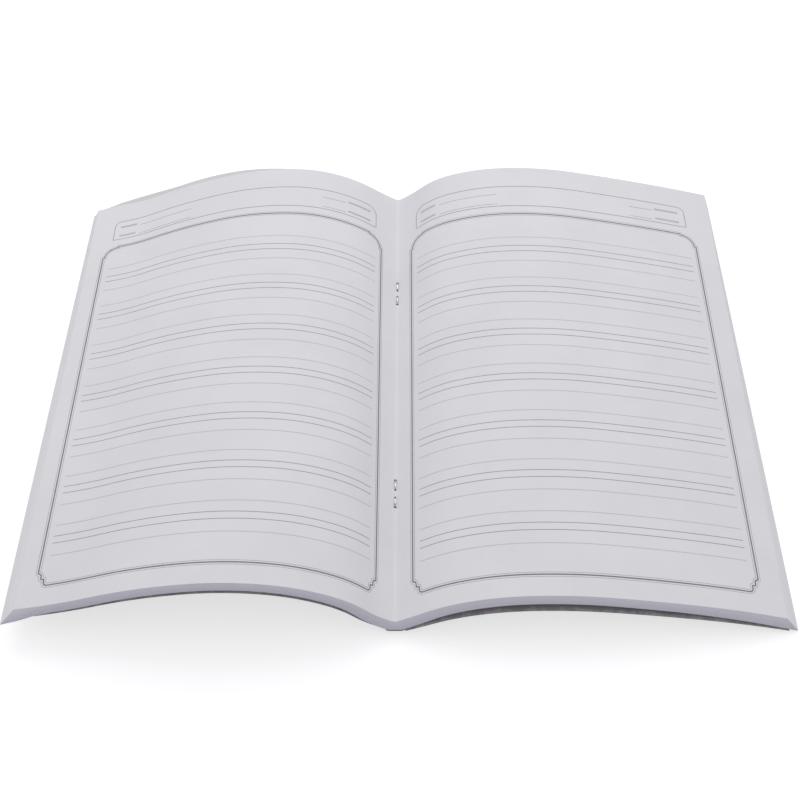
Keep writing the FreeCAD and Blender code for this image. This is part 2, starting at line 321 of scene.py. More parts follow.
def paper_wave(side, across, up):
    """How far the upper leaves stand off an even arch."""
    turn = WAVE_TURN[side]
    long_wave = np.sin(across / LONG_WAVE[0] + turn) * np.sin(up / LONG_WAVE[1] + 2 * turn)
    short_wave = np.sin(across / SHORT_WAVE[0] - turn) * np.sin(up / SHORT_WAVE[1] + turn)
    fade = np.clip(across / WAVE_FADE, 0, 1)
    return WAVE * fade * (long_wave + SHORT_WAVE_SHARE * short_wave)


def leaf_points(side, across, up, depth):
    """Points of the leaves: across from the fold, up from the page's middle, deep in the block."""
    across, up, depth = np.broadcast_arrays(across, up, depth)
    across, up, depth = across.astype(float), up.astype(float), depth.astype(float)
    wave = paper_wave(side, across, up) * np.clip(1 - depth / BLOCK_DEPTH, 0, 1)
    curves = (leaf_curves[side, -1], leaf_curves[side, 1])
    points = ruled_points(curves, SIGN[side], across, up, PAGE_HEIGHT, depth - wave)
    under_fold = np.abs(points[..., 0]) < BLOCK_DEPTH
    points[..., 2] = np.where(under_fold, np.maximum(points[..., 2], REST_LEVEL), points[..., 2])
    return points


# Meshes


def new_piece(name, points, faces, materials, material_of=None, sharp_angle=40.0):
    mesh = bpy.data.meshes.new(name)
    mesh.from_pydata(np.asarray(points).tolist(), [], np.asarray(faces).tolist())
    for material in materials:
        mesh.materials.append(material)
    if material_of is not None:
        mesh.polygons.foreach_set("material_index", np.asarray(material_of, np.int32))
    mesh.polygons.foreach_set("use_smooth", np.ones(len(mesh.polygons), bool))
    mesh.set_sharp_from_angle(angle=math.radians(sharp_angle))
    mesh.update()
    piece = bpy.data.objects.new(name, mesh)
    bpy.context.scene.collection.objects.link(piece)
    return piece


def set_attribute(piece, name, values):
    attribute = piece.data.attributes.new(name, "FLOAT", "POINT")
    attribute.data.foreach_set("value", np.asarray(values, np.float32))


def quads(grid, flip):
    """Faces of a grid of vertex numbers."""
    a, b, c, d = grid[:-1, :-1], grid[1:, :-1], grid[1:, 1:], grid[:-1, 1:]
    order = (a, d, c, b) if flip else (a, b, c, d)
    return np.stack(order, -1).reshape(-1, 4)


def slab_mesh(columns, layers, rows):
    """The skin of a slab of columns, layers (downward) and rows (far): the vertices' places in
    the slab as three arrays, the faces, and each face's side."""
    skin = np.zeros((columns, layers, rows), bool)
    skin[[0, -1]] = skin[:, [0, -1]] = True
    skin[:, :, [0, -1]] = True
    number = np.full(skin.shape, -1)
    number[skin] = np.arange(skin.sum())
    sides = {
        "top": quads(number[:, 0, :], False),
        "bottom": quads(number[:, -1, :], True),
        "near": quads(number[:, :, 0], True),
        "far": quads(number[:, :, -1], False),
        "left": quads(number[0], True),
        "right": quads(number[-1], False),
    }
    faces = np.concatenate(list(sides.values()))
    names = np.concatenate([[name] * len(side) for name, side in sides.items()])
    return np.nonzero(skin), faces, names


# Materials


class Nodes:
    """A material's nodes, with short ways to add and join them."""

    def __init__(self, name):
        self.material = bpy.data.materials.new(name)
        self.material.use_nodes = True
        self.tree = self.material.node_tree
        self.shader = self.tree.nodes["Principled BSDF"]

    def add(self, kind, inputs=(), **settings):
        node = self.tree.nodes.new(kind)
        for key, value in settings.items():
            setattr(node, key, value)
        for key, value in dict(inputs).items():
            self.put(node.inputs[key], value)
        return node

    def put(self, socket, value):
        if isinstance(value, bpy.types.NodeSocket):
            self.tree.links.new(value, socket)
        else:
            socket.default_value = value

    def noise(self, scale, detail=3.0, roughness=0.5, vector=None):
        vector = vector or self.place()
        inputs = {"Vector": vector, "Scale": scale, "Detail": detail, "Roughness": roughness}
        return self.add("ShaderNodeTexNoise", inputs).outputs["Fac"]

    def place(self):
        return self.add("ShaderNodeTexCoord").outputs["Object"]

    def attribute(self, name):
        return self.add("ShaderNodeAttribute", attribute_name=name).outputs["Fac"]

    def ramp(self, value, low, high, to_low=0.0, to_high=1.0):
        inputs = {"Value": value, "From Min": low, "From Max": high}
        inputs.update({"To Min": to_low, "To Max": to_high})
        return self.add("ShaderNodeMapRange", inputs).outputs["Result"]

    def mix(self, share, first, second):
        node = self.add("ShaderNodeMix", data_type="RGBA")
        self.put(node.inputs[0], share)
        self.put(node.inputs[6], first)
        self.put(node.inputs[7], second)
        return node.outputs[2]

    def math(self, operation, first, second):
        node = self.add("ShaderNodeMath", operation=operation)
        self.put(node.inputs[0], first)
        self.put(node.inputs[1], second)
        return node.outputs[0]

    def bump(self, height, strength, distance):
        inputs = {"Height": height, "Strength": strength, "Distance": distance}
        self.put(self.shader.inputs["Normal"], self.add("ShaderNodeBump", inputs).outputs["Normal"])


def colour(red, green, blue):
    """A colour given as it shows on a screen, from 0 to 255."""
    linear = []
    for value in (red, green, blue):
        share = value / 255
        linear.append(share / 12.92 if share <= 0.04045 else ((share + 0.055) / 1.055) ** 2.4)
    return (*linear, 1.0)


def paper_material():
    """Uncoated writing paper: faint clouds, fine fibres, and a tooth in the bump."""
    nodes = Nodes("writing_paper")
    clouds = nodes.noise(38.0, 4.0, 0.6)
    fibres = nodes.noise(2600.0, 3.0, 0.6)
    tone = nodes.mix(nodes.ramp(clouds, 0.35, 0.65), colour(215, 215, 220), colour(219, 219, 224))
    tone = nodes.mix(nodes.ramp(fibres, 0.3, 0.7, 0.0, 0.35), tone, colour(208, 208, 214))
    nodes.put(nodes.shader.inputs["Base Color"], tone)
    nodes.put(nodes.shader.inputs["Roughness"], nodes.ramp(fibres, 0.3, 0.7, 0.86, 0.96))
    nodes.shader.inputs["Specular IOR Level"].default_value = 0.25
    nodes.bump(fibres, 0.25, 0.02 * MM)
    return nodes.material


def leaf_edge_material(name, dark, light, fibre, deep_shade):
    """Cut edges of the leaves: a streak for each leaf, and painted shade that darkens them towards
    the cover.
    """
    nodes = Nodes(name)
    leaf = nodes.attribute("leaf")
    along = nodes.attribute("along")
    inputs = {"X": nodes.math("MULTIPLY", leaf, 1.9), "Y": nodes.math("MULTIPLY", along, 18.0)}
    vector = nodes.add("ShaderNodeCombineXYZ", inputs).outputs[0]
    streaks = nodes.noise(1.0, 2.0, 0.6, vector)
    fibres = nodes.noise(3200.0, 2.0)
    tone = nodes.mix(nodes.ramp(streaks, 0.3, 0.7), dark, light)
    tone = nodes.mix(nodes.ramp(fibres, 0.35, 0.65, 0.0, 0.4), tone, fibre)
    # painted shade, deeper towards the cover
    tone = nodes.mix(nodes.ramp(leaf, 0.25 * LEAVES, LEAVES, 0.0, 0.6), tone, deep_shade)
    nodes.put(nodes.shader.inputs["Base Color"], tone)
    nodes.shader.inputs["Roughness"].default_value = 0.95
    nodes.shader.inputs["Specular IOR Level"].default_value = 0.15
    nodes.bump(fibres, 0.3, 0.03 * MM)
    return nodes.material


def ink_and_shade_material(name, full, thin):
    """Printing ink, and the painted shade at the staples: each takes unevenly on the paper's
    fibres.
    """
    nodes = Nodes(name)
    grain = nodes.noise(2300.0, 3.0, 0.6)
    drift = nodes.noise(60.0, 2.0)
    uneven = nodes.ramp(drift, 0.3, 0.7, 0.7, 1.0)
    share = nodes.math("MULTIPLY", nodes.ramp(grain, 0.35, 0.7), uneven)
    nodes.put(nodes.shader.inputs["Base Color"], nodes.mix(share, full, thin))
    nodes.put(nodes.shader.inputs["Roughness"], nodes.ramp(grain, 0.3, 0.7, 0.7, 0.88))
    nodes.shader.inputs["Specular IOR Level"].default_value = 0.3
    return nodes.material


def card_material(name, base, deep, worn, rough):
    """Cover card: clouded colour, fine grain, and paler where its edges are rubbed."""
    nodes = Nodes(name)
    clouds = nodes.noise(30.0, 4.0, 0.6)
    grain = nodes.noise(1500.0, 4.0, 0.6)
    rubbed = nodes.noise(260.0, 3.0, 0.7)
    tone = nodes.mix(nodes.ramp(clouds, 0.3, 0.7), base, deep)
    tone = nodes.mix(nodes.ramp(grain, 0.4, 0.75, 0.0, 0.25), tone, worn)
    wear = nodes.math("ADD", nodes.attribute("wear"), nodes.ramp(rubbed, 0.3, 0.7, -0.45, 0.35))
    wear = nodes.ramp(wear, 0.55, 1.1, 0.0, 0.75)
    nodes.put(nodes.shader.inputs["Base Color"], nodes.mix(wear, tone, worn))
    nodes.put(nodes.shader.inputs["Roughness"], nodes.ramp(grain, 0.3, 0.7, rough, rough + 0.14))
    nodes.shader.inputs["Specular IOR Level"].default_value = 0.4
    nodes.bump(grain, 0.3, 0.03 * MM)
    return nodes.material


def steel_material():
    """Drawn staple wire: bright, with draw lines along it, a few dull spots, and painted shade on
    the legs and at both ends of each clinch.
    """
    nodes = Nodes("staple_steel")
    inputs = {"Vector": nodes.place(), "Scale": (9000.0, 500.0, 9000.0)}
    stretched = nodes.add("ShaderNodeMapping", inputs).outputs["Vector"]
    lines = nodes.noise(1.0, 3.0, 0.6, stretched)
    spots = nodes.noise(900.0, 2.0)
    tone = nodes.mix(nodes.ramp(spots, 0.45, 0.75), colour(232, 233, 236), colour(190, 191, 196))
    # painted shade along the wire
    tone = nodes.mix(nodes.attribute("wire_shade"), tone, colour(96, 95, 98))
    nodes.put(nodes.shader.inputs["Base Color"], tone)
    nodes.shader.inputs["Metallic"].default_value = 1.0
    nodes.put(nodes.shader.inputs["Roughness"], nodes.ramp(lines, 0.3, 0.7, 0.16, 0.34))
    nodes.bump(lines, 0.15, 0.01 * MM)
    return nodes.material


PAPER = paper_material()
# The leaf edges carry painted light: the near ends are tinted blue as painted shade, the far ends
# are darkened as painted shade, and the fore-edges are lightened past the paper as painted light.
NEAR_ENDS = leaf_edge_material(
    "near_ends_painted_shade",
    dark=colour(210, 209, 222),
    light=colour(226, 225, 237),
    fibre=colour(206, 205, 217),
    deep_shade=colour(195, 193, 207),
)
FAR_ENDS = leaf_edge_material(
    "far_ends_painted_shade",
    dark=colour(198, 199, 201),
    light=colour(210, 211, 213),
    fibre=colour(194, 195, 197),
    deep_shade=colour(196, 197, 199),
)
FORE_EDGES = leaf_edge_material(
    "fore_edges_painted_light",
    dark=colour(221, 221, 226),
    light=colour(229, 229, 233),
    fibre=colour(217, 217, 222),
    deep_shade=colour(219, 219, 224),
)
# Painted shade for the discs round the staples' legs and tips
SHADE = ink_and_shade_material("painted_staple_shade", colour(58, 57, 61), colour(84, 83, 87))
DARK_INK = ink_and_shade_material("dark_ink", colour(104, 106, 110), colour(140, 142, 146))
GREY_INK = ink_and_shade_material("grey_ink", colour(132, 136, 140), colour(168, 170, 174))
PALE_INK = ink_and_shade_material("pale_ink", colour(150, 152, 156), colour(180, 181, 186))
FAINT_INK = ink_and_shade_material("faint_ink", colour(174, 175, 179), colour(193, 194, 198))
PINK_INK = ink_and_shade_material("pink_ink", colour(193, 184, 190), colour(203, 196, 201))
CARD_FACE = card_material(
    "cover_card", colour(90, 87, 94), colour(82, 80, 87), colour(166, 163, 167), rough=0.42
)
CARD_BACK = card_material(
    "cover_lining", colour(128, 124, 131), colour(118, 114, 121), colour(172, 168, 173), rough=0.7
)
CARD_EDGE = card_material(
    "cover_edge", colour(106, 102, 108), colour(96, 93, 99), colour(150, 147, 151), rough=0.85
)
CARD_MATERIALS = [CARD_FACE, CARD_BACK, CARD_EDGE]
STEEL = steel_material()


def card_kinds(sides):
    """Which of the card's materials each side of a slab has: its top is the card's inner face."""
    return [{"bottom": 0, "top": 1}.get(side, 2) for side in sides]


# Leaves


def page_columns():
    """Places across the spread, from the left fore-edge to the right one, as signed lengths."""
    gutter = np.linspace(0, GUTTER_REACH, GUTTER_COLUMNS)
    half = np.concatenate([gutter, np.linspace(GUTTER_REACH, LEAF_WIDTH, LEAF_COLUMNS)[1:]])
    return np.concatenate([-half[:0:-1], half])


def leaf_layers():
    """Depths in the block's edges, and how far each stands back: a groove parts two leaves."""
    pitch = BLOCK_DEPTH / LEAVES
    layers = [(0.0, 0.0, 0)]
    for leaf in range(LEAVES):
        layers.append((leaf * pitch + LEAF_GAP, 0.0, leaf))
        layers.append(((leaf + 1) * pitch - LEAF_GAP, 0.0, leaf))
        if leaf < LEAVES - 1:
            layers.append(((leaf + 1) * pitch, LEAF_GROOVE, leaf))
    layers.append((BLOCK_DEPTH, 0.0, LEAVES - 1))
    return [np.array(values) for values in zip(*layers)]


def ragged(leaf, along, seeds):
    """How far a leaf's cut edge stands back, drifting slowly along it."""
    phase, share = seeds[leaf, 0], seeds[leaf, 1]
    drift = 0.5 + 0.5 * np.sin(along / RAGGED_DRIFT + 6.3 * phase)
    return LEAF_RAGGED * (RAGGED_FIXED * share + (1 - RAGGED_FIXED) * drift)


def fanned(share, leaf):
    """How far a leaf of the left half stands past the top one at the far edge."""
    swell = np.zeros(len(share))
    for middle, half, reach in FAN_SWELLS:
        swell += reach * (0.5 + 0.5 * np.cos(math.pi * np.clip((share - middle) / half, -1, 1)))
    return swell * np.interp(leaf, FAN_LEAVES, FAN_SHARES)


def page_block():
    columns = page_columns()
    depths, grooves, leaves = leaf_layers()
    rows = np.linspace(-PAGE_HEIGHT / 2, PAGE_HEIGHT / 2, LEAF_ROWS)
    (c, j, r), faces, sides = slab_mesh(len(columns), len(depths), len(rows))
    signed, depth, up = columns[c], depths[j], rows[r]
    inner = (j > 0) & (j < len(depths) - 1)
    seeds = random.random((LEAVES, 2))
    creep = leaf_creep[0] + (leaf_creep[1] - leaf_creep[0]) * (0.5 + up / PAGE_HEIGHT)
    across = np.abs(signed) * (1 + creep * depth / BLOCK_DEPTH / LEAF_WIDTH)
    at_side = inner & ((c == 0) | (c == len(columns) - 1))
    across -= np.where(at_side, grooves[j] + ragged(leaves[j], up, seeds), 0)
    at_end = inner & ((r == 0) | (r == len(rows) - 1))
    back = np.where(at_end, grooves[j] + ragged(leaves[j], signed, seeds), 0)
    up = up - np.sign(up) * back
    share = signed / LEAF_WIDTH
    far_left = (r == len(rows) - 1) & (signed < 0)
    drawn = DRAWN_IN * np.clip((-share - DRAWN_FROM) / (1 - DRAWN_FROM), 0, 1)
    up += np.where(far_left, fanned(-share, leaves[j]) - drawn, 0)
    lean = np.interp(share, LEAN_PLACES, LEAN_REACH) * depth / BLOCK_DEPTH
    up -= np.where(r == 0, lean, 0)
    points = np.empty((len(c), 3))
    for side in SIGN:
        mine = signed < 0 if side == "left" else signed >= 0
        points[mine] = leaf_points(side, across[mine], up[mine], depth[mine])
    materials = [PAPER, NEAR_ENDS, FORE_EDGES, FAR_ENDS]
    kinds = {"near": 1, "left": 2, "right": 2, "far": 3}
    piece = new_piece("page_block", points, faces, materials, [kinds.get(s, 0) for s in sides])
    set_attribute(piece, "leaf", depth / BLOCK_DEPTH * LEAVES)
    set_attribute(piece, "along", np.where(at_side, up, signed))
    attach(piece, "book")
    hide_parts("pages")


page_block()


# Print


def rounded(corners, radii):
    """A closed path round the corners (across, up), each turned on an arc of its radius."""
    path = []
    corners = [np.array(corner, float) for corner in corners]
    for i, corner in enumerate(corners):
        before = corners[i - 1] - corner
        after = corners[(i + 1) % len(corners)] - corner
        before /= np.linalg.norm(before)
        after /= np.linalg.norm(after)
        radius = max(radii[i], 0)
        if radius < TINY:
            path.append(corner)
            continue
        centre = corner + (before + after) * radius
        for turn in np.linspace(0, math.pi / 2, ARC_POINTS + int(radius / ARC_STEP)):
            out = after * math.cos(turn) + before * math.sin(turn)
            path.append(centre - out * radius)
    return np.array(path + path[:1])


def grown(corners, radii, margin):
    """The same path of upright and level runs, that far outside (or inside, if negative)."""
    corners = [np.array(corner, float) for corner in corners]
    moved, turned = [], []
    for i, corner in enumerate(corners):
        into = corner - corners[i - 1]
        out = corners[(i + 1) % len(corners)] - corner
        into /= np.linalg.norm(into)
        out /= np.linalg.norm(out)
        outward = np.array([-into[1], into[0]]) + np.array([-out[1], out[0]])
        moved.append(corner + outward * margin)
        convex = into[0] * out[1] - into[1] * out[0] < 0
        turned.append(radii[i] + (margin if convex else -margin) if radii[i] > 0 else 0)
    return moved, turned


def dense(path):
    """The path with points added, so that it follows the arched leaf."""
    points = [path[:1]]
    for a, b in zip(path, path[1:]):
        count = max(1, math.ceil(np.linalg.norm(b - a) / INK_STEP))
        points.append(a + (b - a) * np.linspace(0, 1, count + 1)[1:, None])
    return np.concatenate(points)


class Print:
    """Strips of ink on one half of the spread, gathered into one piece."""

    def __init__(self, side, materials):
        self.side = side
        self.materials = materials
        self.points, self.faces, self.inks = [], [], []
        self.count = 0

    def strip(self, path, width, ink):
        path = dense(np.asarray(path, float))
        down = FRAME_TOP - path[:, 1] / PAGE_HEIGHT
        path[:, 0] += FOOT_SHIFT[self.side] * down * (1 - path[:, 0] / LEAF_WIDTH)
        way = np.gradient(path, axis=0)
        closed = np.allclose(path[0], path[-1])
        if closed:
            way[0] = way[-1] = (path[1] - path[0]) + (path[-1] - path[-2])
        way /= np.linalg.norm(way, axis=1, keepdims=True)
        aside = np.stack([-way[:, 1], way[:, 0]], 1) * width / 2
        rings = []
        for offset, height in ((1, INK_TOP), (-1, INK_TOP), (-1, -INK_FOOT), (1, -INK_FOOT)):
            edge = path + offset * aside
            rings.append(leaf_points(self.side, edge[:, 0], edge[:, 1], -height))
        spans = len(path) - 1
        stations = spans if closed else spans + 1
        points = np.stack(rings, 1)[:stations].reshape(-1, 3)
        here = self.count + 4 * np.arange(spans)
        ahead = self.count + 4 * (np.arange(1, spans + 1) % stations)
        faces = []
        for k, m in ((0, 1), (1, 2), (2, 3), (3, 0)):
            faces.append(np.stack([here + k, here + m, ahead + m, ahead + k], -1))
        if not closed:
            faces.append(self.count + np.array([[3, 2, 1, 0], [4 * spans + k for k in range(4)]]))
        faces = np.concatenate(faces)
        self.faces.append(faces[:, ::-1] if self.side == "left" else faces)
        self.points.append(points)
        self.inks += [ink] * len(faces)
        self.count += len(points)

    def finish(self, name):
        points, faces = np.concatenate(self.points), np.concatenate(self.faces)
        piece = new_piece(name, points, faces, self.materials, self.inks)
        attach(piece, "book")


def frame_corners(side):
    """The page's frame, clockwise on the right page: eared round corners above, stepped below."""
    inner, outer = FRAME_INNER[side] * LEAF_WIDTH, FRAME_OUTER[side] * LEAF_WIDTH
    top, foot = FRAME_TOP * PAGE_HEIGHT, FRAME_FOOT * PAGE_HEIGHT
    head = [
        ((0, -EAR_REACH), 0),
        ((EAR, -EAR_REACH), 0),
        ((EAR, -EAR), EAR_REACH - EAR),
        ((EAR_REACH, -EAR), 0),
        ((EAR_REACH, 0), 0),
    ]
    (first_in, first_up), (second_in, second_up) = FIRST_STEP, SECOND_STEP
    tail_corners = [
        (second_in + STEP_RUN, 0),
        (second_in, 0),
        (second_in, second_up),
        (first_in, second_up),
        (first_in, first_up),
        (0, first_up),
    ]
    tail = list(zip(tail_corners, (0, *STEP_RADII)))
    path = [((inner + x, top + y), radius) for (x, y), radius in head]
    path += [((outer - x, top + y), radius) for (x, y), radius in head[::-1]]
    path += [((outer - x, foot + y), radius) for (x, y), radius in tail[:0:-1]]
    path += [((inner + x, foot + y), radius) for (x, y), radius in tail[1:]]
    return [corner for corner, _ in path], [radius for _, radius in path]


def page_frame(side):
    """A heavy line between two fine ones."""
    ink = Print(side, [DARK_INK, PALE_INK])
    corners, radii = frame_corners(side)
    ink.strip(rounded(corners, radii), FRAME_LINE, 0)
    for margin in (FRAME_SPREAD, -FRAME_SPREAD):
        ink.strip(rounded(*grown(corners, radii, margin)), THIN_LINE, 1)
    ink.finish(f"{side}_page_frame")


def ruling(side):
    """Seven groups of four lines: pink, two dark, pink."""
    ink = Print(side, [GREY_INK, PINK_INK])
    start = FRAME_INNER[side] * LEAF_WIDTH + RULE_INSET
    stop = FRAME_OUTER[side] * LEAF_WIDTH - RULE_INSET
    for group in range(GROUPS):
        for line, offset in enumerate(LINE_OFFSETS):
            up = (FIRST_LINE - group * GROUP_PITCH - offset) * PAGE_HEIGHT
            pink = line in (0, 3)
            ink.strip([(start, up), (stop, up)], PINK_LINE if pink else RULE_LINE, int(pink))
    ink.finish(f"{side}_ruling")


def heading(side):
    """The box above the frame, with two writing lines on the left and two on the right, and a
    plain bar where a word would say what to write."""
    ink = Print(side, [GREY_INK, FAINT_INK])
    inner = FRAME_INNER[side] * LEAF_WIDTH + BOX_INSET
    outer = FRAME_OUTER[side] * LEAF_WIDTH - BOX_INSET
    top, foot = BOX_TOP * PAGE_HEIGHT, BOX_FOOT * PAGE_HEIGHT
    corners = [(inner, foot), (inner, top), (outer, top), (outer, foot)]
    ink.strip(rounded(corners, [0, *BOX_RADII, 0]), HEADING_LINE, 0)
    for row in HEADING_ROWS:
        for kind, *shares in HEADING_MARKS:
            bar = kind == "bar"
            up = top + (foot - top) * row + (BAR_LIFT if bar else 0)
            if side == "left":
                shares = [1 - share for share in shares]
            ends = [(inner + share * (outer - inner), up) for share in shares]
            ink.strip(ends, BAR_WIDTH if bar else THIN_LINE, int(bar))
    ink.finish(f"{side}_heading")


for side in SIGN:
    page_frame(side)
    ruling(side)
    heading(side)


# Cover


def panel_curves(node):
    """The inner face of a cover panel at both ends, from its crease to its fore-edge, and the
    card's thickness."""
    curves = []
    for end in (-1, 1):
        loop = end_outline(node, end)
        into = loop - np.roll(loop, 1, axis=0)
        out = np.roll(loop, -1, axis=0) - loop
        into /= np.linalg.norm(into, axis=1, keepdims=True)
        out /= np.linalg.norm(out, axis=1, keepdims=True)
        corners = sorted(np.argsort((into * out).sum(1))[:4])
        ways = []
        for a, b in zip(corners, corners[1:] + corners[:1]):
            ways.append(path_between(loop, a, b))
        long_ways = sorted(ways, key=lambda way: -np.ptp(way[:, 0]))[:2]
        upper = max(long_ways, key=lambda way: way[:, 1].mean())
        if abs(upper[0, 0]) > abs(upper[-1, 0]):
            upper = upper[::-1]
        curves.append(Curve(upper))
        thickness = min(np.linalg.norm(way[0] - way[-1]) for way in ways)
    return curves, thickness


def cover_panel(node, body, side):
    """A panel of the card, rounded at its cut edges."""
    curves, thickness = panel_curves(node)
    low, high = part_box(node)
    height = high.y - low.y
    shares = np.linspace(0, 1, CARD_COLUMNS)
    rows = np.linspace(-0.5, 0.5, CARD_ROWS)
    (c, j, r), faces, sides = slab_mesh(CARD_COLUMNS, len(CARD_LAYERS), CARD_ROWS)
    outward = c if side == "right" else CARD_COLUMNS - 1 - c
    length = min(curve.length for curve in curves)
    inset = CARD_INSETS[j]
    across = inset + (length - 2 * inset) * shares[outward]
    up = (height - 2 * inset) * rows[r]
    points = ruled_points(curves, SIGN[side], across, up, height, CARD_LAYERS[j] * thickness)
    piece = new_piece(f"{node}_card", points, faces, CARD_MATERIALS, card_kinds(sides))
    from_edge = np.minimum(length - across, height / 2 - np.abs(up))
    set_attribute(piece, "wear", np.clip(1 - from_edge / WEAR_REACH, 0, 1))
    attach(piece, body)
    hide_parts(node)


cover_panel("front_cover", "front", "left")
cover_panel("back_cover", "back", "right")


def crease(node, side):
    """The card's crease: a straight strip between the strip under the fold and a panel."""
    curves, thickness = panel_curves(node)
    sign = SIGN[side]
    start, way = (value[0] for value in curves[0].at([0.0]))
    aside = sign * np.array([way[1], -way[0]])
    strip = end_outline("cover_spine", -1)
    corner = strip[(sign * strip[:, 0]).argmax()] - aside * thickness
    inner = [corner - way * CREASE_SINK, start + way * CREASE_SINK]
    half = min(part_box(name)[1].y for name in ("cover_spine", node)) - CREASE_INSET
    (c, j, r), faces, sides = slab_mesh(CREASE_COLUMNS, 2, CARD_ROWS)
    share = c[:, None] / (CREASE_COLUMNS - 1)
    depth = np.where(j == 0, CREASE_INSET, thickness - CREASE_INSET)[:, None]
    section = inner[0] * (1 - share) + inner[1] * share + aside * depth
    up = half * (2 * r / (CARD_ROWS - 1) - 1)
    points = np.stack([section[:, 0], up, section[:, 1]], -1)
    if side == "left":
        faces = faces[:, ::-1]
    piece = new_piece(f"{node}_crease", points, faces, CARD_MATERIALS, card_kinds(sides))
    set_attribute(piece, "wear", np.full(len(points), CREASE_WEAR))
    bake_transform(piece)


crease("front_cover", "left")
crease("back_cover", "right")

for slot in frame["nodes"]["cover_spine"].material_slots:
    slot.material = CARD_FACE


# Staples


def staple_path(low, high):
    """The wire's middle line as points (y, z), from one tip round the crown to the other."""
    radius = (high.x - low.x) / 2
    middle, reach = (low.y + high.y) / 2, (high.y - low.y) / 2 - radius
    foot, top = low.z + radius, high.z - radius
    turns = np.linspace(0, math.pi / 2, WIRE_BEND_POINTS)
    share = CLINCH_SHARES
    corner = reach - WIRE_BEND
    away = np.concatenate([
        [0.0, 0.5 * corner],
        corner + WIRE_BEND * np.sin(turns),
        corner + WIRE_BEND * np.cos(turns),
        corner - share * (CLINCH_LENGTH - WIRE_BEND),
    ])
    height = np.concatenate([
        [foot, foot],
        foot + WIRE_BEND * (1 - np.cos(turns)),
        top - WIRE_BEND * (1 - np.sin(turns)),
        top + CLINCH_BOW * np.sin(math.pi * share) - TIP_SINK * share**TIP_SINK_POWER,
    ])
    away = np.concatenate([-away[:0:-1], away])
    return np.stack([middle + away, np.concatenate([height[:0:-1], height])], -1), radius


def staple(node):
    """A staple's wire, round and tapered at its tips. Gives back the wire's middle line."""
    low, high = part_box(node)
    path, radius = staple_path(low, high)
    way = np.gradient(path, axis=0)
    way /= np.linalg.norm(way, axis=1, keepdims=True)
    radii = np.full(len(path), radius)
    radii[[0, -1]] *= TIP_TAPER
    around = np.arange(WIRE_SIDES)
    lines = []
    for turn in around * 2 * math.pi / WIRE_SIDES:
        out = radii * math.cos(turn)
        along = np.stack([path[:, 0] - way[:, 1] * out, path[:, 1] + way[:, 0] * out], -1)
        lines.append(np.column_stack([STAPLE_ASIDE[node] + radii * math.sin(turn), along]))
    points = np.stack(lines, 1).reshape(-1, 3)
    beside = (around + 1) % WIRE_SIDES
    ring = np.stack([around, beside, beside + WIRE_SIDES, around + WIRE_SIDES], -1)
    faces = [ring + WIRE_SIDES * i for i in range(len(path) - 1)]
    across = around[: WIRE_SIDES // 2 - 1]
    cap = np.stack([WIRE_SIDES - 1 - across, WIRE_SIDES - 2 - across, across + 1, across], -1)
    faces += [cap, cap[:, ::-1] + WIRE_SIDES * (len(path) - 1)]
    piece = new_piece(f"{node}_wire", points, np.concatenate(faces), [STEEL], sharp_angle=60.0)
    # Painted shade: darker on the crown and legs and at both ends of each clinch
    clinch = len(CLINCH_SHARES)
    wire_shade = np.full(len(path), LEG_WIRE_SHADE)
    wire_shade[-clinch:] = np.abs(2 * CLINCH_SHARES - 1) ** CLINCH_WIRE_SHADE_POWER
    wire_shade[:clinch] = wire_shade[: -clinch - 1 : -1]
    set_attribute(piece, "wire_shade", np.repeat(wire_shade, WIRE_SIDES))
    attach(piece, "book")
    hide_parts(node)
    return path


def staples(nodes):
    """The staples, with a disc of painted shade where each leg comes through and where its tip goes
    in.
    """
    (c, j, r), faces, _ = slab_mesh(MARK_CELLS + 1, 2, MARK_CELLS + 1)
    u, v = 2 * c / MARK_CELLS - 1, 2 * r / MARK_CELLS - 1
    across, along = u * np.sqrt(1 - v**2 / 2), v * np.sqrt(1 - u**2 / 2)
    points = []
    for node in nodes:
        path = staple(node)
        marks = [(path[:, 0].min(), LEG_MARK), (path[:, 0].max(), LEG_MARK)]
        marks += [(path[0, 0], TIP_MARK), (path[-1, 0], TIP_MARK)]
        for place, radius in marks:
            mark = np.empty((len(c), 3))
            signed = across * radius + STAPLE_ASIDE[node]
            depth = np.where(j == 0, -MARK_TOP, MARK_FOOT)
            for side in SIGN:
                mine = signed < 0 if side == "left" else signed >= 0
                up = place + along[mine] * radius
                mark[mine] = leaf_points(side, np.abs(signed[mine]), up, depth[mine])
            points.append(mark)
    count = len(c)
    faces = np.concatenate([faces + count * i for i in range(len(points))])
    # One piece holding all the discs of painted shade
    piece = new_piece("staple_painted_shade", np.concatenate(points), faces, [SHADE])
    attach(piece, "book")


staples(["upper_staple", "lower_staple"])


# Floor, light and camera


def is_seen(tree):
    """1 for what the camera sees directly, in a gloss or through glass."""
    path = tree.nodes.new("ShaderNodeLightPath")
    first = tree.nodes.new("ShaderNodeMath")
    first.operation = "MAXIMUM"
    second = tree.nodes.new("ShaderNodeMath")
    second.operation = "MAXIMUM"
    tree.links.new(path.outputs["Is Camera Ray"], first.inputs[0])
    tree.links.new(path.outputs["Is Glossy Ray"], first.inputs[1])
    tree.links.new(first.outputs[0], second.inputs[0])
    tree.links.new(path.outputs["Is Transmission Ray"], second.inputs[1])
    return second.outputs[0]


FLOOR_TONE = colour(196, 196, 200)


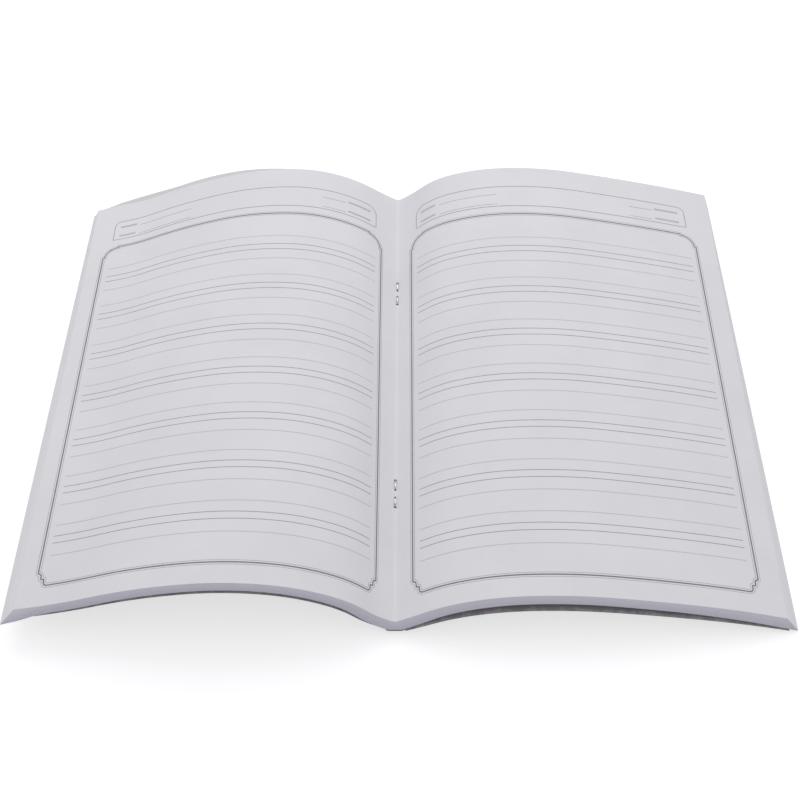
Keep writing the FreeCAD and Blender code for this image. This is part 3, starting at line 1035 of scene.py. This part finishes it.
def floor():
    """A pale floor that keeps its shadows, lifted to white where it is seen."""
    half = FLOOR_SIZE / 2
    corners = [(-half, -half), (half, -half), (half, half), (-half, half)]
    mesh = bpy.data.meshes.new("floor")
    level = cad_bounds[0].z - FLOOR_DROP
    mesh.from_pydata([(x, y, level) for x, y in corners], [], [(0, 1, 2, 3)])
    piece = bpy.data.objects.new("floor", mesh)
    bpy.context.scene.collection.objects.link(piece)
    nodes = Nodes("floor_white")
    tree = nodes.tree
    nodes.put(nodes.shader.inputs["Base Color"], FLOOR_TONE)
    nodes.shader.inputs["Roughness"].default_value = 1.0
    nodes.shader.inputs["Specular IOR Level"].default_value = 0.0
    strength = nodes.math("MULTIPLY", is_seen(tree), FLOOR_GLOW)
    glow = nodes.add("ShaderNodeEmission", {"Color": WHITE, "Strength": strength})
    both = nodes.add("ShaderNodeAddShader")
    tree.links.new(nodes.shader.outputs[0], both.inputs[0])
    tree.links.new(glow.outputs[0], both.inputs[1])
    tree.links.new(both.outputs[0], tree.nodes["Material Output"].inputs["Surface"])
    mesh.materials.append(nodes.material)


def world():
    """Soft even light from all round, and a white backdrop where it is seen."""
    scene_world = bpy.data.worlds.new("studio")
    bpy.context.scene.world = scene_world
    scene_world.use_nodes = True
    tree = scene_world.node_tree
    light = tree.nodes["Background"]
    light.inputs["Color"].default_value = WORLD_TONE
    light.inputs["Strength"].default_value = WORLD_LEVEL
    backdrop = tree.nodes.new("ShaderNodeBackground")
    backdrop.inputs["Color"].default_value = WHITE
    backdrop.inputs["Strength"].default_value = 1.0
    mix = tree.nodes.new("ShaderNodeMixShader")
    tree.links.new(is_seen(tree), mix.inputs[0])
    tree.links.new(light.outputs[0], mix.inputs[1])
    tree.links.new(backdrop.outputs[0], mix.inputs[2])
    tree.links.new(mix.outputs[0], tree.nodes["World Output"].inputs["Surface"])


def key_light():
    """A large soft lamp overhead and beyond the book, aimed at its middle."""
    lamp = bpy.data.lights.new("key", "AREA")
    lamp.size = KEY_SIZE
    lamp.energy = KEY_POWER
    holder = bpy.data.objects.new("key", lamp)
    bpy.context.scene.collection.objects.link(holder)
    turn = (-KEY_PLACE).to_track_quat("-Z", "Y").to_matrix()
    holder.matrix_world = Matrix.Translation(KEY_PLACE) @ turn.to_4x4()


def camera():
    """The photograph's camera: it looks down the page, a little turned and tilted."""
    pitch, yaw, roll = (math.radians(a) for a in (CAMERA_PITCH, CAMERA_YAW, CAMERA_ROLL))
    forward = Vector((math.sin(yaw), math.cos(yaw), 0))
    ahead = forward * math.cos(pitch) - Vector((0, 0, math.sin(pitch)))
    level = Vector((math.cos(yaw), -math.sin(yaw), 0))
    upright = level.cross(ahead)
    right = math.cos(roll) * level + math.sin(roll) * upright
    up = -math.sin(roll) * level + math.cos(roll) * upright
    turn = Matrix((right, up, -ahead)).transposed()
    data = bpy.data.cameras.new("camera")
    data.sensor_width = SENSOR
    data.lens = FOCAL_PIXELS / IMAGE_PIXELS * SENSOR
    data.clip_start = CLIP_START
    holder = bpy.data.objects.new("camera", data)
    bpy.context.scene.collection.objects.link(holder)
    holder.matrix_world = Matrix.Translation(CAMERA_PLACE) @ turn.to_4x4()
    bpy.context.scene.camera = holder


floor()
world()
key_light()
camera()
bpy.context.scene.view_settings.view_transform = "Standard"
